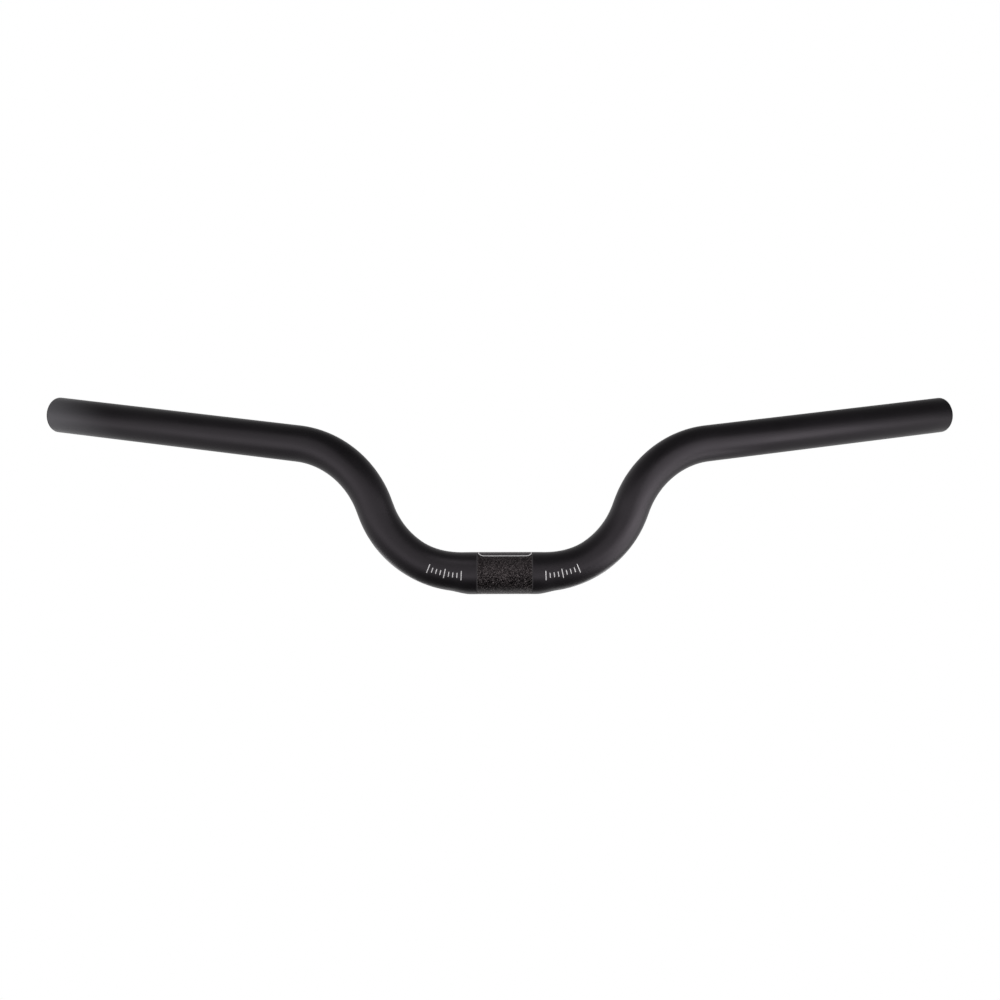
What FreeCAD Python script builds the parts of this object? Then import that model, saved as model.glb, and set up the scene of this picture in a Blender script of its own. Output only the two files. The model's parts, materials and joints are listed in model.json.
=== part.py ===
import FreeCAD, Part
import math
import os

from FreeCAD import Placement, Rotation, Vector

# A rise handlebar for a folding bicycle, bent from one butted aluminium tube. The thick middle
# is gripped by the stem. Each side rises out of it, then turns outwards into a straight grip
# that is swept up and back. Origin: middle of the clamp zone, on its axis. +X runs along the
# clamp zone to the rider's left, +Y back to the rider, +Z up.

# Driving dimensions, in millimetres and degrees.
clamp_diameter = 25.4      # outside of the thick middle
clamp_length = 40.0        # full-diameter stretch of the middle, end to end
clamp_wall = 2.4           # wall of the middle
grip_diameter = 22.2       # outside of the tube from the taper to its end
grip_wall = 2.0            # wall from the taper to the end
outside_taper = 11.0       # clamp diameter down to grip diameter, on the outside of the rise bend
inside_taper = 38.0        # the same on the inside of the bend, where the metal gathers
clamp_lead = 3.0           # straight stretch between the clamp zone and the rise bend
rise_bend_radius = 57.0    # at the tube's axis
rise_bend_angle = 70.0     # turn of the rise bend, from level
riser_length = 4.0         # straight stretch between the two bends
sweep_bend_radius = 57.0   # at the tube's axis
up_sweep = 7.0             # climb of the grip, seen from the front
back_sweep = 9.0           # turn of the grip towards the rider, seen from above
grip_length = 162.0        # straight stretch at each end, for the grip and the levers
end_round = 0.8            # rounding of the outer edge at the open end
bore_chamfer = 0.5         # bevel of the inner edge at the open end

# How closely the taper's skin is ruled by round sections, and how exactly an edge is found.
taper_sections = 20
same_place = 1e-6

origin = Vector(0, 0, 0)
along_tube = Vector(1, 0, 0)       # the tube's own direction, before it is placed
rise_axis = Vector(0, -1, 0)       # turns +X up to +Z
towards_inside = Vector(0, 0, 1)   # the tube's own side that faces the middle of the rise bend


class Straight:
    """A straight stretch of the tube's axis."""

    def __init__(self, start, length):
        self.start = start
        self.length = length
        self.direction = start.Rotation.multVec(along_tube)

    def place(self, distance):
        return Placement(self.start.Base + self.direction * distance, self.start.Rotation)

    def sweep(self, section, distance):
        return section.extrude(self.direction * distance)


class Bend:
    """A stretch of the tube's axis bent to a radius about an axis square to it."""

    def __init__(self, start, radius, angle, axis):
        self.start = start
        self.radius = radius
        self.length = radius * math.radians(angle)
        self.axis = axis
        inwards = axis.cross(start.Rotation.multVec(along_tube))
        self.centre = start.Base + inwards * radius

    def place(self, distance):
        turn = Rotation(self.axis, math.degrees(distance / self.radius))
        return Placement(origin, turn, self.centre).multiply(self.start)

    def sweep(self, section, distance):
        return section.revolve(self.centre, self.axis, math.degrees(distance / self.radius))


def end_of(run):
    return run.place(run.length)


def lay_out_axis():
    """The right half of the axis, run by run from the middle of the clamp zone to the tip."""
    middle = Straight(Placement(), clamp_length / 2 + clamp_lead)
    rise = Bend(end_of(middle), rise_bend_radius, rise_bend_angle, rise_axis)
    riser = Straight(end_of(rise), riser_length)

    back = math.tan(math.radians(back_sweep))
    up = math.tan(math.radians(up_sweep))
    grip_direction = Vector(1, back, up).normalize()
    sweep_axis = riser.direction.cross(grip_direction).normalize()
    sweep_angle = math.degrees(riser.direction.getAngle(grip_direction))
    sweep = Bend(end_of(riser), sweep_bend_radius, sweep_angle, sweep_axis)

    grip = Straight(end_of(sweep), grip_length)
    return [middle, rise, riser, sweep, grip]


def place_at(runs, distance):
    """The tube's place at a distance along the axis from its middle."""
    for run in runs:
        if distance <= run.length:
            return run.place(distance)
        distance -= run.length
    return end_of(runs[-1])


def circle_at(place, radius):
    wire = Part.Wire(Part.makeCircle(radius, origin, along_tube))
    wire.Placement = place
    return wire


def ring_at(place, radius, wall):
    wires = [circle_at(place, radius), circle_at(place, radius - wall)]
    return Part.makeFace(wires, "Part::FaceMakerBullseye")


def even_tube(runs, radius, wall, first, last):
    """Tube of one section between two distances along the axis, one solid for each run."""
    solids = []
    reached = 0.0
    for run in runs:
        enters = max(first - reached, 0.0)
        leaves = min(last - reached, run.length)
        if leaves - enters > same_place:
            section = ring_at(run.place(enters), radius, wall)
            solids.append(run.sweep(section, leaves - enters))
        reached += run.length
    return solids


def ease(distance, length):
    """Share of the way from the clamp's size to the grip's, without a step at either end."""
    share = min(distance / length, 1.0)
    return share * share * (3 - 2 * share)


def taper_circle(place, distance, thick, thin):
    """Round section of the swaged stretch, shifted to the side where the taper is slower."""
    outside = thick + (thin - thick) * ease(distance, outside_taper)
    inside = thick + (thin - thick) * ease(distance, inside_taper)
    shift = Placement(towards_inside * (inside - outside) / 2, Rotation())
    return circle_at(place.multiply(shift), (inside + outside) / 2)


def taper_tube(runs, first, length):
    """The swaged stretch: skin and bore shrink together, faster on the outside of the rise bend."""
    skin = []
    bore = []
    clamp_radius = clamp_diameter / 2
    grip_radius = grip_diameter / 2
    for index in range(taper_sections):
        distance = length * index / (taper_sections - 1)
        place = place_at(runs, first + distance)
        skin.append(taper_circle(place, distance, clamp_radius, grip_radius))
        bore.append(taper_circle(place, distance, clamp_radius - clamp_wall, grip_radius - grip_wall))
    return Part.makeLoft(skin, True).cut(Part.makeLoft(bore, True))


def circle_edges(solid, centre, radius):
    edges = []
    for edge in solid.Edges:
        if not isinstance(edge.Curve, Part.Circle):
            continue
        if not edge.Curve.Center.isEqual(centre, same_place):
            continue
        if abs(edge.Curve.Radius - radius) < same_place:
            edges.append(edge)
    return edges


def dress_end(grip_tube, tip):
    """Open end: outer edge rounded for the hand grip to slide over, bore edge bevelled."""
    outer_radius = grip_diameter / 2
    fits = min(1.0, 0.9 * grip_wall / (end_round + bore_chamfer))   # smaller on a thin wall
    outer_edge = circle_edges(grip_tube, tip, outer_radius)
    rounded = grip_tube.makeFillet(fits * end_round, outer_edge)
    bore_edge = circle_edges(rounded, tip, outer_radius - grip_wall)
    return rounded.makeChamfer(fits * bore_chamfer, bore_edge)


def half_bar():
    runs = lay_out_axis()
    clamp_end = clamp_length / 2
    swage_length = max(outside_taper, inside_taper)
    swage_end = clamp_end + swage_length
    tip_distance = sum(run.length for run in runs)

    solids = even_tube(runs, clamp_diameter / 2, clamp_wall, 0.0, clamp_end)
    solids.append(taper_tube(runs, clamp_end, swage_length))
    solids += even_tube(runs, grip_diameter / 2, grip_wall, swage_end, tip_distance)
    solids[-1] = dress_end(solids[-1], end_of(runs[-1]).Base)
    return solids[0].fuse(solids[1:])


def handlebar():
    left = half_bar()
    right = left.mirror(origin, along_tube)
    bar = left.fuse(right).removeSplitter()
    return bar.Solids[0]


os.makedirs("parts", exist_ok=True)
handlebar().exportStep("parts/handlebar.step")
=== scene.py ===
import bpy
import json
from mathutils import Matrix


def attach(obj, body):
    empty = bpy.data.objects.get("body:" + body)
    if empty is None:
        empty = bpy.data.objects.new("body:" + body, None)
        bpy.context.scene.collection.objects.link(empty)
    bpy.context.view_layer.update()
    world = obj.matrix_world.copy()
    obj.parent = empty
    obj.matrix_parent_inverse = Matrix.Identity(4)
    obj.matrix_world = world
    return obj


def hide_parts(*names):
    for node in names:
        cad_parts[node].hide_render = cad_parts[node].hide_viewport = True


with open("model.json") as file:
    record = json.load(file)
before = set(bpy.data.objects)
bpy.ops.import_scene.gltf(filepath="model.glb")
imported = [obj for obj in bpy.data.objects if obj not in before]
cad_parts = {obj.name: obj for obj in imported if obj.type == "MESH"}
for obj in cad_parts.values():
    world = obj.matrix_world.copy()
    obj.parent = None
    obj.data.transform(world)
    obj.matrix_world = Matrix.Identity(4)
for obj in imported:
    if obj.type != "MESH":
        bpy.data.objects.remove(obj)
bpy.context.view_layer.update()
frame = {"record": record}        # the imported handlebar, fixed in place

import bpy
import json
import math
from mathutils import Matrix, Vector

# metres, in the bar's own frame: +X along the clamp, +Y back to the rider, +Z up
mm = 0.001
mounts = {mount["name"]: mount for mount in frame["record"]["mounts"]}
clampRadius = mounts["stem_clamp"]["dims"]["r_mm"] * mm
clampHalf = mounts["stem_clamp"]["dims"]["length_mm"] * mm / 2
gripRadius = mounts["left_grip"]["dims"]["r_mm"] * mm
boreRadius = mounts["left_end_bore"]["dims"]["r_mm"] * mm
alongClamp = Vector((1, 0, 0))
backwards = Vector((0, 1, 0))
origin = Vector((0, 0, 0))
quarterTurn = math.pi / 2


def smoothStep(low, high, value):
    share = min(max((value - low) / (high - low), 0), 1)
    return share * share * (3 - 2 * share)


def pick(piece):
    bpy.ops.object.select_all(action="DESELECT")
    piece.select_set(True)
    bpy.context.view_layer.objects.active = piece


def addShape(name, operator, **settings):
    bpy.ops.object.select_all(action="DESELECT")
    operator(**settings)
    piece = bpy.context.object
    piece.name = name
    return piece


def settle():
    # takes the active piece's place, turn and scale over into its mesh
    bpy.ops.object.transform_apply(location=True, rotation=True, scale=True)


def startEditing(piece):
    pick(piece)
    bpy.ops.object.mode_set(mode="EDIT")


def stopEditing():
    bpy.ops.object.mode_set(mode="OBJECT")


def editAll(piece):
    startEditing(piece)
    bpy.ops.mesh.select_all(action="SELECT")


def editEdges(piece, wanted):
    # starts editing with only the edges selected whose two ends pass the test
    mesh = piece.data
    for face in mesh.polygons:
        face.select = False
    for vertex in mesh.vertices:
        vertex.select = False
    for edge in mesh.edges:
        first, second = (mesh.vertices[index].co for index in edge.vertices)
        edge.select = wanted(first, second)
    bpy.context.tool_settings.mesh_select_mode = (False, True, False)
    startEditing(piece)


def cutEdges(piece, wanted, cuts):
    editEdges(piece, wanted)
    bpy.ops.mesh.subdivide(number_cuts=cuts)
    stopEditing()


def extrude(step):
    bpy.ops.mesh.extrude_region_move(TRANSFORM_OT_translate={"value": step})


def faceOutwards():
    # the last step of editing a closed mesh
    bpy.ops.mesh.select_all(action="SELECT")
    bpy.ops.mesh.normals_make_consistent(inside=False)
    stopEditing()


def applyModifier(piece, kind, **settings):
    pick(piece)
    modifier = piece.modifiers.new(kind.lower(), kind)
    for name, value in settings.items():
        setattr(modifier, name, value)
    bpy.ops.object.modifier_apply(modifier=modifier.name)


def addMarks(piece, name, values, kind="FLOAT"):
    # one value, or one vector, for each point of the mesh
    marks = piece.data.attributes.new(name, kind, "POINT")
    marks.data.foreach_set("vector" if kind == "FLOAT_VECTOR" else "value", values)


def shadeSmooth(piece, degrees):
    pick(piece)
    bpy.ops.object.shade_smooth_by_angle(angle=math.radians(degrees))


# the bent tube

tubeShape = {
    "sides": 96,                      # points in each ring
    "clampBore": 10.3 * mm,           # bore radius inside the clamp zone
    "clampLead": 3 * mm,              # straight between the clamp zone and the first bend
    "outsideTaper": 11 * mm,          # clamp diameter down to grip diameter, outside of the bend
    "insideTaper": 38 * mm,           # the same on its inside
    "bendRadius": 57 * mm,
    "riseTurn": math.radians(70),
    "riserLength": 4 * mm,
    "endRound": 0.8 * mm,             # outer edge of the open end
    "boreBevel": 0.5 * mm,            # inner edge of the open end
    "bendSpacing": 1.5 * mm,          # ring to ring in a bend
    "straightSpacing": 16 * mm,       # ring to ring on a straight
    "roundSteps": 6,
    "leastLift": 1e-9,                # smaller changes of a ring are left out
    "leastScale": 1e-7,
    "weld": 0.01 * mm,
    "crease": 30,                     # degrees
}

bandShape = {
    "half": 16.75 * mm,               # the textured band reaches this far each side of its middle
    "shift": 0.7 * mm,                # it sits a little to one side on the clamp zone
    "depth": 0.25 * mm,               # how deep its seat is cut into the tube
    "sides": 480,
    "slices": 100,                    # from the middle to each edge
    "grain": 0.42 * mm,
    "relief": 0.12 * mm,
    "swell": 1.6 * mm,
    "swellRelief": 0.03 * mm,
    "rim": 0.5 * mm,                  # plain strip along each edge, coloured paler as a painted highlight
    "rimFade": (0.6, 1.2),            # in widths of the strip
    "margin": 0.8 * mm,               # plain dark strip round the window's outline
    "windowFade": 0.4 * mm,           # grains rise to their height over this distance
    "edgeFade": 0.3 * mm,
    "atEdge": 0.001 * mm,
    "weld": 0.005 * mm,
    "crease": 60,                     # degrees
}


def carry(run, distance, centre, heading):
    # where a ring comes to when it moves on along its run
    if "axis" not in run:
        return centre + heading * distance, heading
    turn = Matrix.Rotation(distance / tubeShape["bendRadius"], 3, run["axis"])
    return run["pivot"] + turn @ (centre - run["pivot"]), turn @ heading


def layOutRuns():
    # straights and bends of one half, from the middle of the clamp zone to the tip
    shape = tubeShape
    gripHeading = Vector(mounts["left_grip"]["axis"])
    gripLength = mounts["left_end_bore"]["dims"]["length_mm"] * mm + shape["boreBevel"]
    riserHeading = Vector((math.cos(shape["riseTurn"]), 0, math.sin(shape["riseTurn"])))
    sweepTurn = riserHeading.angle(gripHeading)
    runs = [
        {"length": clampHalf + shape["clampLead"]},
        {"length": shape["bendRadius"] * shape["riseTurn"],
         "axis": alongClamp.cross(riserHeading).normalized()},
        {"length": shape["riserLength"]},
        {"length": shape["bendRadius"] * sweepTurn,
         "axis": riserHeading.cross(gripHeading).normalized()},
        {"length": gripLength},
    ]
    place, heading = origin, alongClamp
    for run in runs:
        if "axis" in run:
            run["pivot"] = place + run["axis"].cross(heading) * shape["bendRadius"]
        place, heading = carry(run, run["length"], place, heading)
    return runs


def moveRing(ring, run, distance, radius, lift=0.0):
    # carries the open ring along its run and leaves a strip of faces behind it
    if "axis" in run:
        angle = distance / tubeShape["bendRadius"]
        bpy.ops.mesh.spin(steps=1, angle=-angle, center=run["pivot"], axis=run["axis"])
    else:
        extrude(ring["heading"] * distance)
    ring["centre"], ring["heading"] = carry(run, distance, ring["centre"], ring["heading"])
    rise = ring["heading"].cross(backwards) * (lift - ring["lift"])   # to the first bend's inside
    if rise.length > tubeShape["leastLift"]:
        bpy.ops.transform.translate(value=rise)
        ring["centre"] = ring["centre"] + rise
        ring["lift"] = lift
    scale = radius / ring["radius"]
    if abs(scale - 1) > tubeShape["leastScale"]:
        bpy.ops.transform.resize(value=(scale, scale, scale), center_override=ring["centre"])
        ring["radius"] = radius
    ring["count"] += 1


def swage(distance, thick, thin):
    # radius and lift of the tube where it narrows, slower on the inside of the first bend
    outside, inside = (
        thick + (thin - thick) * smoothStep(clampHalf, clampHalf + tubeShape[taper], distance)
        for taper in ("outsideTaper", "insideTaper"))
    return (outside + inside) / 2, (inside - outside) / 2


def skinSteps(runs):
    # (run, its step, distance from the middle after it) from the clamp zone's end to the tip
    shape = tubeShape
    reached, steps = clampHalf, []
    for number, run in enumerate(runs):
        left = run["length"] - (clampHalf if number == 0 else 0)
        fine = "axis" in run or left < shape["straightSpacing"]
        spacing = shape["bendSpacing"] if fine else shape["straightSpacing"]
        count = max(math.ceil(left / spacing), 1)
        for _ in range(count):
            reached += left / count
            steps.append((run, left / count, reached))
    return steps


def makeTube():
    shape = tubeShape
    runs = layOutRuns()
    steps = skinSteps(runs)
    grip, gripStep, _ = steps[-1]
    seatRadius = clampRadius - bandShape["depth"]

    tube = addShape("handlebarTube", bpy.ops.mesh.primitive_circle_add, vertices=shape["sides"],
                    radius=seatRadius, location=origin, rotation=(0, quarterTurn, 0))
    settle()
    editAll(tube)
    ring = {"centre": origin, "heading": alongClamp, "radius": seatRadius, "lift": 0.0, "count": 1}

    # outside: seat of the band, clamp zone, taper, bends and grip
    moveRing(ring, runs[0], bandShape["half"], seatRadius)
    moveRing(ring, runs[0], 0, clampRadius)
    moveRing(ring, runs[0], clampHalf - bandShape["half"], clampRadius)
    for run, step, reached in steps[:-1]:
        moveRing(ring, run, step, *swage(reached, clampRadius, gripRadius))
    moveRing(ring, grip, gripStep - shape["endRound"], gripRadius)

    # open end: rounded outer edge, flat face, bevelled bore edge
    edgeRings = ring["count"]
    before = 0
    for index in range(1, shape["roundSteps"] + 1):
        angle = quarterTurn * index / shape["roundSteps"]
        advance = shape["endRound"] * math.sin(angle)
        drop = shape["endRound"] * (1 - math.cos(angle))
        moveRing(ring, grip, advance - before, gripRadius - drop)
        before = advance
    moveRing(ring, grip, 0, boreRadius + shape["boreBevel"])
    moveRing(ring, grip, -shape["boreBevel"], boreRadius)

    # bore: the same way back to the middle
    skinRings = ring["count"]
    moveRing(ring, grip, shape["boreBevel"] - gripStep, boreRadius)
    for run, step, reached in reversed(steps[:-1]):
        moveRing(ring, run, -step, *swage(reached - step, shape["clampBore"], boreRadius))
    moveRing(ring, runs[0], -clampHalf, shape["clampBore"])
    stopEditing()

    # for the colour, each point's place round the tube and whether it lies in the bore;
    # for the choice of material, whether it lies on the rounded edge of the end
    roundTube, endEdge = [], []
    for index in range(len(tube.data.vertices)):
        number, corner = divmod(index, shape["sides"])
        turn = 2 * math.pi * corner / shape["sides"]
        roundTube += [math.cos(turn), math.sin(turn), float(number >= skinRings)]
        endEdge.append(float(edgeRings <= number < edgeRings + shape["roundSteps"] - 1))
    addMarks(tube, "roundTube", roundTube, "FLOAT_VECTOR")
    addMarks(tube, "endEdge", endEdge)
    applyModifier(tube, "MIRROR", merge_threshold=shape["weld"])

    # both walls of the seat go to one side with the band
    def onWall(point):
        return abs(abs(point.x) - bandShape["half"]) < shape["weld"]

    editEdges(tube, lambda first, second: onWall(first) and onWall(second))
    bpy.ops.transform.translate(value=(bandShape["shift"], 0, 0))
    faceOutwards()
    shadeSmooth(tube, shape["crease"])
    return tube


tube = makeTube()
print("tube:", len(tube.data.polygons), "faces")


# the gritty band on the clamp zone, with a plain window on top

windowShape = {
    "halfLength": 15.8 * mm,          # to the middle of its printed outline
    "halfArc": 6.5 * mm,              # along the skin, front and back of the top
    "shift": 0.3 * mm,                # from the band's middle
    "corner": 3.3 * mm,
    "cornerSteps": 12,
    "line": 0.55 * mm,
    "ink": 0.02 * mm,                 # thickness of the print
    "longEdge": 4 * mm,               # longer edges are cut, to follow the round metal
    "cuts": 15,
    "crease": 40,                     # degrees
}


def beyondWindow(point):
    # how far a point of the skin lies outside the middle of the window's outline
    corner = windowShape["corner"]
    arc = math.atan2(point.y, point.z) * clampRadius
    across = abs(point.x - windowShape["shift"]) - windowShape["halfLength"] + corner
    along = abs(arc) - windowShape["halfArc"] + corner
    outside = math.hypot(max(across, 0), max(along, 0))
    return outside + min(max(across, along), 0) - corner


def makeBand():
    shape = bandShape
    half = shape["half"]
    seat = (clampRadius - shape["depth"]) / clampRadius

    band = addShape("clampBand", bpy.ops.mesh.primitive_circle_add, vertices=shape["sides"],
                    radius=clampRadius, location=(-half, 0, 0), rotation=(0, quarterTurn, 0))
    settle()
    editAll(band)
    extrude((half, 0, 0))
    extrude((half, 0, 0))
    stopEditing()

    # cut the skin finely along the bar, so that it can carry the grains
    cutEdges(band, lambda first, second: abs(first.x - second.x) > half / 2, shape["slices"] - 1)

    # side walls and the underside that lies on the tube
    rightEdge = half - shape["atEdge"]
    editEdges(band, lambda first, second: first.x > rightEdge and second.x > rightEdge)
    extrude((0, 0, 0))
    bpy.ops.transform.resize(value=(1, seat, seat), center_override=(half, 0, 0))
    extrude((-2 * half, 0, 0))
    extrude((0, 0, 0))
    bpy.ops.transform.resize(value=(1, 1 / seat, 1 / seat), center_override=(-half, 0, 0))
    bpy.ops.mesh.select_all(action="SELECT")
    bpy.ops.mesh.remove_doubles(threshold=shape["weld"])
    faceOutwards()

    # grains everywhere but in the window and along the two edges
    gritty = band.vertex_groups.new(name="gritty")
    for vertex in band.data.vertices:
        x, y, z = vertex.co
        if math.hypot(y, z) < clampRadius - shape["depth"] / 2:
            continue
        beyond = beyondWindow(vertex.co) - windowShape["line"] / 2 - shape["margin"]
        clear = smoothStep(0, shape["windowFade"], beyond)
        inside = smoothStep(0, shape["edgeFade"], half - shape["rim"] - abs(x))
        if clear * inside > 0:
            gritty.add([vertex.index], clear * inside, "REPLACE")
    for kind, size, depth in (("VORONOI", "grain", "relief"), ("CLOUDS", "swell", "swellRelief")):
        texture = bpy.data.textures.new(size, kind)
        texture.noise_scale = shape[size]
        applyModifier(band, "DISPLACE", texture=texture, texture_coords="LOCAL",
                      vertex_group="gritty", mid_level=0, strength=-shape[depth])

    # for the colour: height above the deepest valley, share of grains, the edges that carry a
    # painted highlight, and the dark strip round the window
    deepest = shape["relief"] + shape["swellRelief"]
    marks = {"gritHeight": [], "gritCover": [], "gritRim": [], "gritMargin": []}
    for vertex in band.data.vertices:
        x, y, z = vertex.co
        drop = clampRadius - math.hypot(y, z)
        toEdge = (half - abs(x)) / shape["rim"]
        onMargin = 0 < beyondWindow(vertex.co) < windowShape["line"] / 2 + shape["margin"]
        marks["gritHeight"].append(min(max(1 - drop / deepest, 0), 1))
        marks["gritCover"].append(sum(member.weight for member in vertex.groups))
        marks["gritRim"].append(1 - smoothStep(*shape["rimFade"], toEdge))
        marks["gritMargin"].append(float(onMargin))
    for name, values in marks.items():
        addMarks(band, name, values)
    pick(band)
    band.location.x = shape["shift"]
    settle()
    shadeSmooth(band, shape["crease"])
    return band


band = makeBand()
print("band:", len(band.data.polygons), "faces")


def layOnSkin(piece, skin, axis, ink):
    # drops a flat print on to the metal, down along Z or back along Y, and gives it thickness
    applyModifier(piece, "SHRINKWRAP", target=skin, wrap_method="PROJECT", use_project_x=False,
                  use_project_y=axis == "Y", use_project_z=axis == "Z",
                  use_negative_direction=axis == "Z", use_positive_direction=axis == "Y")
    applyModifier(piece, "SOLIDIFY", thickness=ink, offset=1)
    startEditing(piece)
    faceOutwards()


def makeWindowFrame():
    shape = windowShape
    halfDepth = clampRadius * math.sin(shape["halfArc"] / clampRadius)
    outer = shape["line"] / 2
    above = (bandShape["shift"] + shape["shift"], 0, 2 * clampRadius)

    outline = addShape("clampWindowFrame", bpy.ops.mesh.primitive_plane_add, size=2, location=above)
    outline.scale = (shape["halfLength"] + outer, halfDepth + outer, 1)
    settle()
    editAll(outline)
    bpy.ops.mesh.bevel(offset=shape["corner"] + outer, offset_type="OFFSET",
                       segments=shape["cornerSteps"], affect="VERTICES")
    bpy.ops.mesh.select_all(action="SELECT")
    bpy.ops.mesh.inset(thickness=shape["line"], depth=0)
    bpy.ops.mesh.delete(type="FACE")          # the inner face, left selected by the inset
    stopEditing()
    cutEdges(outline, lambda first, second: (first - second).length > shape["longEdge"],
             shape["cuts"])
    layOnSkin(outline, band, "Z", shape["ink"])
    shadeSmooth(outline, shape["crease"])
    return outline


windowFrame = makeWindowFrame()
print("window outline:", len(windowFrame.data.polygons), "faces")


# plain scale for centring the bar in the stem, printed beside the band

scaleShape = {
    "first": 25 * mm,                 # along the axis from the middle
    "pitch": 2.5 * mm,
    "count": 9,
    "longEvery": 4,
    "width": 0.5 * mm,
    "short": 3.0 * mm,
    "long": 5.5 * mm,
    "corner": 0.3,                    # in widths
    "cornerSteps": 3,
    "cuts": 11,
    "ink": 0.02 * mm,
    "crease": 40,                     # degrees
}


def makeTick(height):
    shape = scaleShape
    tick = addShape("tick", bpy.ops.mesh.primitive_plane_add, size=1, location=origin,
                    rotation=(quarterTurn, 0, 0))
    tick.scale = (shape["width"], height, 1)
    settle()
    editAll(tick)
    bpy.ops.mesh.bevel(offset=shape["width"] * shape["corner"], segments=shape["cornerSteps"],
                       affect="VERTICES")
    stopEditing()
    cutEdges(tick, lambda first, second: (first - second).length > height / 2, shape["cuts"])
    return tick


def makeScale():
    shape = scaleShape
    patterns = {kind: makeTick(shape[kind]) for kind in ("short", "long")}
    bendStart = clampHalf + tubeShape["clampLead"]
    radius = tubeShape["bendRadius"]
    ticks = []
    for side in (-1, 1):
        for index in range(shape["count"]):
            kind = "long" if index % shape["longEvery"] == 0 else "short"
            angle = (shape["first"] + index * shape["pitch"] - bendStart) / radius
            tick = patterns[kind].copy()
            tick.data = patterns[kind].data.copy()
            bpy.context.scene.collection.objects.link(tick)
            tick.rotation_euler = (0, -side * angle, 0)
            tick.location = (
                side * (bendStart + radius * math.sin(angle)),
                -2 * clampRadius,
                radius * (1 - math.cos(angle)))
            ticks.append(tick)
    for pattern in patterns.values():
        bpy.data.objects.remove(pattern)
    pick(ticks[0])
    for tick in ticks:
        tick.select_set(True)
    bpy.ops.object.join()
    scale = bpy.context.object
    scale.name = "centringScale"
    settle()
    layOnSkin(scale, tube, "Y", shape["ink"])
    shadeSmooth(scale, shape["crease"])
    return scale


centringScale = makeScale()
print("centring scale:", len(centringScale.data.polygons), "faces")

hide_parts("handlebar")
for piece in (tube, band, windowFrame, centringScale):
    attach(piece, "root")


# shader parts: each takes plain values or what other nodes give

def feed(tree, socket, value):
    if isinstance(value, bpy.types.NodeSocket):
        tree.links.new(value, socket)
    else:
        socket.default_value = value


def addNode(tree, kind, settings=None, inputs=None):
    node = tree.nodes.new(kind)
    for name, value in (settings or {}).items():
        setattr(node, name, value)
    for name, value in (inputs or {}).items():
        feed(tree, node.inputs[name], value)
    return node


def mixColours(tree, factor, first, second):
    # by number, because the colour sockets share their names with those for other types
    mix = addNode(tree, "ShaderNodeMix", {"data_type": "RGBA"}, {0: factor, 6: first, 7: second})
    return mix.outputs[2]


def mixShaders(tree, factor, first, second):
    mix = addNode(tree, "ShaderNodeMixShader", None, {0: factor, 1: first, 2: second})
    return mix.outputs["Shader"]


def spread(tree, value, low, high, start=0.25, end=0.75, kind="LINEAR"):
    remap = addNode(tree, "ShaderNodeMapRange", {"interpolation_type": kind}, {
        "Value": value, "From Min": start, "From Max": end, "To Min": low, "To Max": high})
    return remap.outputs["Result"]


def combine(tree, operation, *values):
    node = addNode(tree, "ShaderNodeMath", {"operation": operation}, dict(enumerate(values)))
    return node.outputs["Value"]


def measure(tree, operation, first, second):
    node = addNode(tree, "ShaderNodeVectorMath", {"operation": operation}, {0: first, 1: second})
    return node.outputs["Value"]


def readMark(tree, name, output="Fac"):
    return addNode(tree, "ShaderNodeAttribute", {"attribute_name": name}).outputs[output]


def placeOn(tree):
    return addNode(tree, "ShaderNodeTexCoord").outputs["Object"]


# materials

blastLook = {
    "scales": {"Grain Scale": 5500.0, "Cloud Scale": 45.0},
    "fine": {"Detail": 3.0, "Roughness": 0.6},
    "broad": {"Detail": 2.0, "Roughness": 0.5},
}


def makeBlastGrain():
    # the fine even grain of blasted metal, and the faint cloudiness of its colour bath
    group = bpy.data.node_groups.new("blastGrain", "ShaderNodeTree")
    for name, value in blastLook["scales"].items():
        socket = group.interface.new_socket(name, in_out="INPUT", socket_type="NodeSocketFloat")
        socket.default_value = value
    for name in ("Grain", "Clouds"):
        group.interface.new_socket(name, in_out="OUTPUT", socket_type="NodeSocketFloat")
    given = addNode(group, "NodeGroupInput").outputs
    place = placeOn(group)
    fine = addNode(group, "ShaderNodeTexNoise", None, {
        "Vector": place, "Scale": given["Grain Scale"], **blastLook["fine"]})
    broad = addNode(group, "ShaderNodeTexNoise", None, {
        "Vector": place, "Scale": given["Cloud Scale"], **blastLook["broad"]})
    addNode(group, "NodeGroupOutput", None, {
        "Grain": fine.outputs["Fac"], "Clouds": broad.outputs["Fac"]})
    return group


blastGrain = makeBlastGrain()


def startMaterial(name, look):
    material = bpy.data.materials.new(name)
    material.use_nodes = True
    tree = material.node_tree
    grain = addNode(tree, "ShaderNodeGroup", {"node_tree": blastGrain}, look["scales"])
    return material, tree, grain.outputs["Grain"], grain.outputs["Clouds"]


def dress(tree, look, colour, rough, grain):
    # what varies over the surface, then what is the same all over it
    strength, depth = look["bump"]
    bump = addNode(tree, "ShaderNodeBump", None, {
        "Strength": strength, "Distance": depth, "Height": grain})
    shader = tree.nodes["Principled BSDF"]
    tree.links.new(colour, shader.inputs["Base Color"])
    tree.links.new(spread(tree, rough, *look["roughness"]), shader.inputs["Roughness"])
    tree.links.new(bump.outputs["Normal"], shader.inputs["Normal"])
    for name, value in look["sockets"].items():
        shader.inputs[name].default_value = value


def makePlain(name, look):
    material, tree, grain, clouds = startMaterial(name, look)
    colour = mixColours(tree, clouds, look["dark"], look["light"])
    dress(tree, look, colour, grain, grain)
    return material


oxideTint = (1.0, 0.90, 1.0, 1)       # faint purple of the dyed oxide, in what it mirrors

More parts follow.
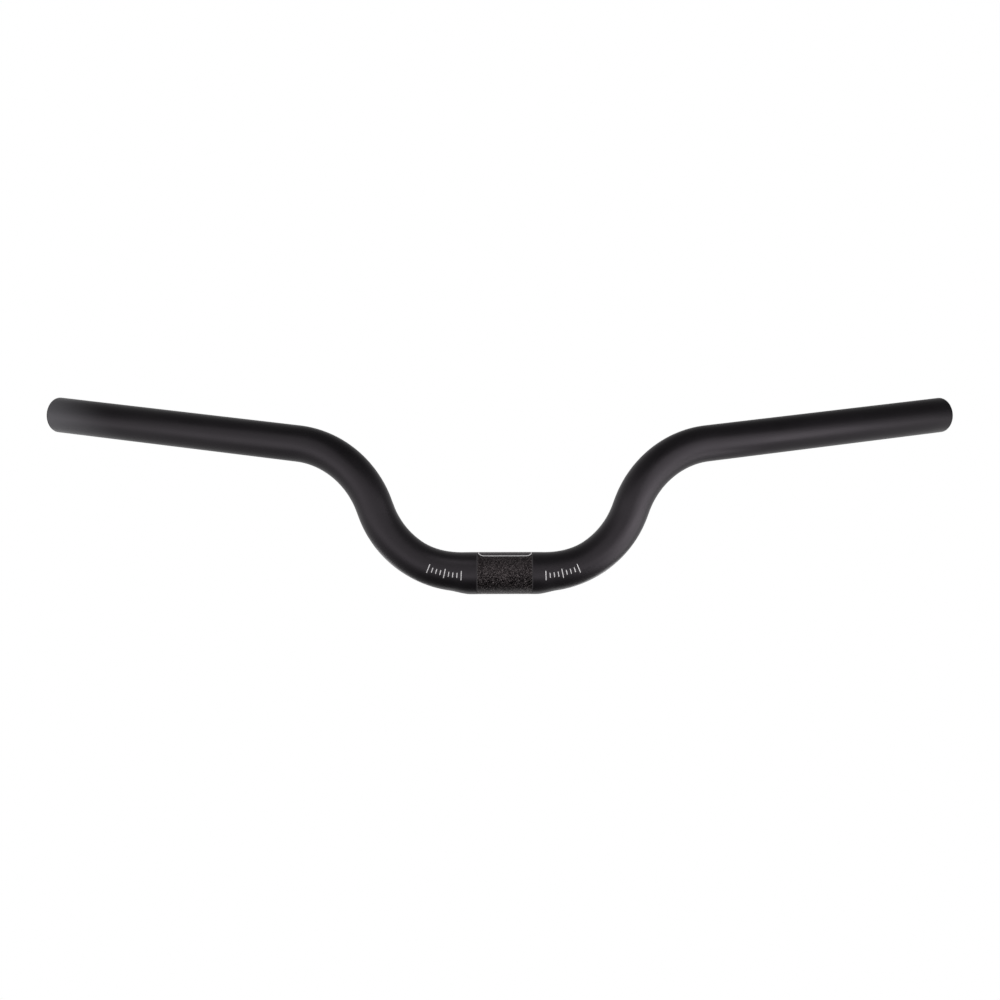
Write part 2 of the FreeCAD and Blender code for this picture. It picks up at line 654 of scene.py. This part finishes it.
satinLook = {
    "scales": {"Grain Scale": 5500.0, "Cloud Scale": 45.0},
    "dark": (0.0045, 0.0040, 0.0047, 1),
    "light": (0.0070, 0.0062, 0.0072, 1),
    # painted light on the left end: the pale grey its colour turns to
    "paintedEndLight": (0.110, 0.109, 0.116, 1),
    "paintedEndLightHeading": (-1.0, 0.0, -0.7), # painted light: the left end pales outwards, further along its underside
    "paintedEndLightFrom": (174 * mm, 226 * mm),
    "bore": (0.07, 0.068, 0.07, 1),
    "boreScratch": (0.18, 0.176, 0.178, 1),
    "boreLines": {"Scale": 22.0, "Detail": 4.0, "Roughness": 0.7},
    "roughness": (0.36, 0.42),
    "bump": (0.25, 0.02 * mm),        # strength and depth
    "sockets": {"Specular Tint": oxideTint},
}


def makeSatinBlack():
    look = satinLook
    material, tree, grain, clouds = startMaterial("satinBlack", look)
    skin = mixColours(tree, clouds, look["dark"], look["light"])
    # painted light: the left end's colour goes pale grey outwards, for the light falling on that
    # end
    outwards = measure(tree, "DOT_PRODUCT", placeOn(tree), look["paintedEndLightHeading"])
    paintedEndLight = spread(tree, outwards, 0.0, 1.0, *look["paintedEndLightFrom"], "SMOOTHSTEP")
    skin = mixColours(tree, paintedEndLight, skin, look["paintedEndLight"])

    # the bore shows the lines that drawing left along it
    roundTube = readMark(tree, "roundTube", "Vector")
    lines = addNode(tree, "ShaderNodeTexNoise", None, {"Vector": roundTube, **look["boreLines"]})
    scratched = spread(tree, lines.outputs["Fac"], 0.0, 1.0)
    drawn = mixColours(tree, scratched, look["bore"], look["boreScratch"])
    parts = addNode(tree, "ShaderNodeSeparateXYZ", None, {"Vector": roundTube})
    dress(tree, look, mixColours(tree, parts.outputs["Z"], skin, drawn), clouds, grain)
    return material


# painted shade: the rounded edge of each open end is coloured darker than the tube and mirrors
# less, for the shade that falls on it
paintedShadeEdgeLook = {
    "scales": {"Grain Scale": 5500.0, "Cloud Scale": 300.0},
    "dark": (0.0015, 0.0014, 0.0015, 1),
    "light": (0.0025, 0.0023, 0.0025, 1),
    "roughness": (0.5, 0.6),
    "bump": (0.2, 0.01 * mm),
    "sockets": {"Specular IOR Level": 0.06},
}

gritLook = {
    "scales": {"Grain Scale": 2600.0, "Cloud Scale": 900.0},
    # painted light on the grit: valleys coloured near-black for their shade, peaks pale for the
    # light they catch
    "valley": (0.002, 0.0017, 0.0018, 1),
    "peak": (0.22, 0.19, 0.196, 1),
    "raised": (0.1, 0.7),             # heights that count as valley and as peak
    "cellScale": 3300.0,
    "lit": (0.55, 0.95),              # painted glints: some grains are coloured pale as if catching the light
    "sharpness": (2.2, 0.8, -8 * mm, 1 * mm),        # painted shade: fewer pale grains low down, for the shade there
    "calm": (1.0, 0.66, -1.5 * mm, 2.4 * mm),        # painted light: more even, with lighter valleys, on the upper half
    "calmLift": (0.0, 0.05, -1.5 * mm, 2.4 * mm),
    # painted shade: the specks darken towards the top of the band
    "topFade": (1.0, 0.65, 3 * mm, 9 * mm),
    "paintedUnderLight": (0.09, 0.086, 0.087, 1),                # painted light: pale grains along the underside, for light from below
    "paintedUnderLightPeak": (0.30, 0.285, 0.288, 1),
    "paintedUnderLightFrom": (-6.5 * mm, -12.2 * mm),
    # painted sheen: the plain window is coloured paler than the black tube, for the light it
    # catches along the top
    "window": (0.050, 0.047, 0.050, 1),
    "margin": (0.001, 0.001, 0.001, 1),
    # painted highlight: the band's edges are coloured paler, as if a ridge there catches the light
    "rim": (0.042, 0.038, 0.040, 1),
    "rimGaps": (0.4, 0.65),           # broken, not one line
    "roughness": (0.40, 0.65),
    "bump": (0.8, 0.12 * mm),
    "sockets": {
        "Specular IOR Level": 0.01,
        "Specular Tint": oxideTint,
        "Sheen Weight": 0.58,         # the grains scatter light where they are seen from the side
        "Sheen Roughness": 0.3,
        "Sheen Tint": (1.0, 0.95, 0.96, 1),
    },
}


def makeGritBlack():
    look = gritLook
    material, tree, grain, clouds = startMaterial("gritBlack", look)
    height, cover, rim, margin = (
        readMark(tree, name) for name in ("gritHeight", "gritCover", "gritRim", "gritMargin"))
    place = placeOn(tree)
    up = addNode(tree, "ShaderNodeSeparateXYZ", None, {"Vector": place}).outputs["Z"]

    # specks, painted light and shade: raised grains are coloured pale as if catching the light,
    # valleys dark as if shaded, by where they sit between bottom and top
    cells = addNode(tree, "ShaderNodeTexVoronoi", None, {
        "Vector": place, "Scale": look["cellScale"]})
    chance = addNode(tree, "ShaderNodeSeparateColor", None, {"Color": cells.outputs["Color"]})
    lit = spread(tree, chance.outputs["Red"], 0.0, 1.0, *look["lit"])
    specks = combine(tree, "MULTIPLY", spread(tree, height, 0.0, 1.0, *look["raised"]), lit)
    # painted light and shade: the specks thin out low on the band, even out and lift on its upper
    # half, and fade at the top
    specks = combine(tree, "POWER", specks, spread(tree, up, *look["sharpness"]))
    specks = combine(tree, "MULTIPLY_ADD", specks, spread(tree, up, *look["calm"]),
                     spread(tree, up, *look["calmLift"]))
    specks = combine(tree, "MULTIPLY", specks, spread(tree, up, *look["topFade"]))
    grains = mixColours(tree, specks, look["valley"], look["peak"])
    # painted light: grains on the underside are coloured paler, for light falling on them from
    # below
    paintedUnderLight = spread(tree, up, 0.0, 1.0, *look["paintedUnderLightFrom"], "SMOOTHSTEP")
    paintedUnderLightGrains = mixColours(tree, lit, look["paintedUnderLight"], look["paintedUnderLightPeak"])
    grains = mixColours(tree, paintedUnderLight, grains, paintedUnderLightGrains)

    # the plain parts: window, coloured paler as a painted sheen, the dark strip round it, and the
    # band's two edges with their painted highlight
    colour = mixColours(tree, cover, look["window"], grains)
    colour = mixColours(tree, margin, colour, look["margin"])
    # painted highlight along the band's edges, broken up by the clouds
    rim = combine(tree, "MULTIPLY", rim, spread(tree, clouds, 0.0, 1.0, *look["rimGaps"]))
    dress(tree, look, mixColours(tree, rim, colour, look["rim"]), grain, grain)
    return material


printLook = {
    "scales": {"Grain Scale": 6000.0, "Cloud Scale": 900.0},
    "dark": (0.62, 0.60, 0.61, 1),    # where the ink is thin
    "light": (0.80, 0.78, 0.79, 1),
    "roughness": (0.45, 0.6),
    "bump": (0.2, 0.01 * mm),
    "sockets": {},
}

satinBlack = makeSatinBlack()
paintedShadeEdge = makePlain("paintedShadeEdge", paintedShadeEdgeLook)
gritBlack = makeGritBlack()
printWhite = makePlain("printWhite", printLook)
tube.data.materials.append(satinBlack)
tube.data.materials.append(paintedShadeEdge)
# painted shade: faces on the rounded edge of the open ends take the darker material
onEndEdge = [mark.value > 0.5 for mark in tube.data.attributes["endEdge"].data]
for face in tube.data.polygons:
    face.material_index = int(any(onEndEdge[index] for index in face.vertices))
band.data.materials.append(gritBlack)
windowFrame.data.materials.append(printWhite)
centringScale.data.materials.append(printWhite)
print("materials:", satinBlack.name, paintedShadeEdge.name, gritBlack.name, printWhite.name)


# white studio: a pale floor well below the bar, pale surroundings and soft lamps

white = (1, 1, 1, 1)

studio = {
    "floorHeight": -300 * mm,
    "floorSize": 6.0,
    "floorColour": (0.5, 0.5, 0.5, 1),
    "floorRoughness": 0.9,
    "darkSpot": (0, -200 * mm, 0),    # the bar mirrors a darker floor here, a paler one further off
    "floorGloss": [(0, 0.02), (0.2, 0.05), (0.42, 0.36), (0.62, 0.47), (1.0, 0.80)],
    "fill": 0.5,                      # surroundings as they light the bar
    "paleGloss": 0.78,                # surroundings as the bar mirrors them
    "darkGloss": 0.03,
    "darkHeading": (0.2, -0.5, 0.84), # darkest above and in front
    "darkFrom": (-0.6, 1.0),
}

# the lamps are given in millimetres, degrees and watts
lampPlans = {
    "leftBox": {"place": (-215, -115, 80), "size": (210, 240), "power": 0.088},
    "middleBox": {"place": (-40, -115, 40), "size": (200, 160), "power": 0.055},
    "rightBox": {"place": (175, -115, 50), "size": (190, 180), "power": 0.110},
    "leftStrip": {"place": (-215, -115, -20), "size": (210, 40), "power": 0.025},
    "rightStrip": {"place": (190, -115, 5), "size": (220, 40), "power": 0.093},
    "riserCard": {"place": (138, -42, -18), "size": (100, 100), "power": 0.044,
                  "turn": (118, 0, 58.1)},
    "farLeft": {"place": (-400, -115, 75), "size": (160, 150), "power": 0.030},
    "gripBox": {"place": (283, -115, 38), "size": (100, 110), "power": 0.066},
    "farRight": {"place": (370, -115, 75), "size": (200, 170), "power": 0.040},
    "underLamp": {"place": (0, 70, -100), "size": (150, 60), "power": 0.020,
                  "turn": (214.8, 0, 0)},
    "underLeft": {"place": (-110, 75, -50), "size": (90, 50), "power": 0.016,
                  "turn": (119.3, 0, -147.4)},
    "underRight": {"place": (90, 75, -45), "size": (70, 60), "power": 0.020,
                   "turn": (119.3, 0, 155)},
    "topLeft": {"place": (-38, -58, 115), "size": (55, 60), "power": 0.0014,
                "turn": (25, 0, 0), "spread": 60},
}
lampUsual = {"turn": (90, 0, 0), "spread": 180}      # straight back, and to all sides


def splitByRay(tree, lighting, mirrored, seen):
    # sets apart what lights the bar, what the bar mirrors and what the camera sees
    path = addNode(tree, "ShaderNodeLightPath").outputs
    looking = addNode(tree, "ShaderNodeMath", {"operation": "ADD", "use_clamp": True}, {
        0: path["Is Camera Ray"], 1: path["Is Transmission Ray"]}).outputs["Value"]
    glossy = mixShaders(tree, path["Is Glossy Ray"], lighting, mirrored)
    return mixShaders(tree, looking, glossy, seen)


def makeFloor():
    floor = addShape("floor", bpy.ops.mesh.primitive_plane_add, size=studio["floorSize"],
                     location=(0, 0, studio["floorHeight"]))
    settle()
    material = bpy.data.materials.new("paleFloor")
    material.use_nodes = True
    tree = material.node_tree
    shader = tree.nodes["Principled BSDF"]
    shader.inputs["Base Color"].default_value = studio["floorColour"]
    shader.inputs["Roughness"].default_value = studio["floorRoughness"]

    # strength of the floor as the bar mirrors it, by the distance from the dark spot
    darkSpot = Vector(studio["darkSpot"]) + Vector((0, 0, studio["floorHeight"]))
    shade = addNode(tree, "ShaderNodeValToRGB", None, {
        "Fac": measure(tree, "DISTANCE", placeOn(tree), darkSpot)})
    shade.color_ramp.interpolation = "EASE"
    stops = shade.color_ramp.elements
    while len(stops) < len(studio["floorGloss"]):
        stops.new(1.0)
    for stop, (distance, strength) in zip(stops, studio["floorGloss"]):
        stop.position = distance
        stop.color = (strength, strength, strength, 1)
    mirrored = addNode(tree, "ShaderNodeEmission", None, {
        "Color": white, "Strength": shade.outputs["Color"]})
    plain = addNode(tree, "ShaderNodeEmission", None, {"Color": white, "Strength": 1.0})
    above = splitByRay(tree, shader.outputs["BSDF"], mirrored.outputs["Emission"],
                       plain.outputs["Emission"])

    # clear from below
    clear = addNode(tree, "ShaderNodeBsdfTransparent").outputs["BSDF"]
    fromBelow = addNode(tree, "ShaderNodeNewGeometry").outputs["Backfacing"]
    whole = mixShaders(tree, fromBelow, above, clear)
    tree.links.new(whole, tree.nodes["Material Output"].inputs["Surface"])
    floor.data.materials.append(material)


def makeWorld():
    world = bpy.data.worlds.new("paleStudio")
    bpy.context.scene.world = world
    world.use_nodes = True
    tree = world.node_tree
    base = tree.nodes["Background"]
    base.inputs["Color"].default_value = white
    base.inputs["Strength"].default_value = studio["fill"]
    heading = addNode(tree, "ShaderNodeTexCoord").outputs["Generated"]
    towardsDark = measure(tree, "DOT_PRODUCT", heading, studio["darkHeading"])
    fade = spread(tree, towardsDark, studio["paleGloss"], studio["darkGloss"],
                  *studio["darkFrom"], "SMOOTHSTEP")
    mirrored = addNode(tree, "ShaderNodeBackground", None, {"Color": white, "Strength": fade})
    plain = addNode(tree, "ShaderNodeBackground", None, {"Color": white, "Strength": 1.0})
    whole = splitByRay(tree, *(node.outputs["Background"] for node in (base, mirrored, plain)))
    tree.links.new(whole, tree.nodes["World Output"].inputs["Surface"])


def makeLamps():
    for name, plan in lampPlans.items():
        plan = {**lampUsual, **plan}
        lamp = bpy.data.lights.new(name, "AREA")
        lamp.shape = "RECTANGLE"
        lamp.size, lamp.size_y = (side * mm for side in plan["size"])
        lamp.energy = plan["power"]
        lamp.spread = math.radians(plan["spread"])
        holder = bpy.data.objects.new(name, lamp)
        bpy.context.scene.collection.objects.link(holder)
        holder.location = Vector(plan["place"]) * mm
        holder.rotation_euler = [math.radians(angle) for angle in plan["turn"]]
        holder.visible_camera = False


makeFloor()
makeWorld()
makeLamps()
print("studio:", len(lampPlans), "lamps")


# camera: fitted to the outline in the photograph, 1000 x 1000 pixels

cameraView = {
    "place": (-6.630 * mm, -441.724 * mm, 58.052 * mm),
    "turn": (88.210, 0.046, -0.608),  # degrees
    "lens": 26.354,                   # in millimetres, as is the sensor's width
    "sensor": 36,
    "nearest": 10 * mm,
}


def makeCamera():
    lens = bpy.data.cameras.new("frontCamera")
    lens.sensor_width = cameraView["sensor"]
    lens.lens = cameraView["lens"]
    lens.clip_start = cameraView["nearest"]
    camera = bpy.data.objects.new("frontCamera", lens)
    bpy.context.scene.collection.objects.link(camera)
    camera.location = cameraView["place"]
    camera.rotation_euler = [math.radians(angle) for angle in cameraView["turn"]]
    bpy.context.scene.camera = camera


makeCamera()
bpy.context.scene.view_settings.view_transform = "Standard"
print("camera set")
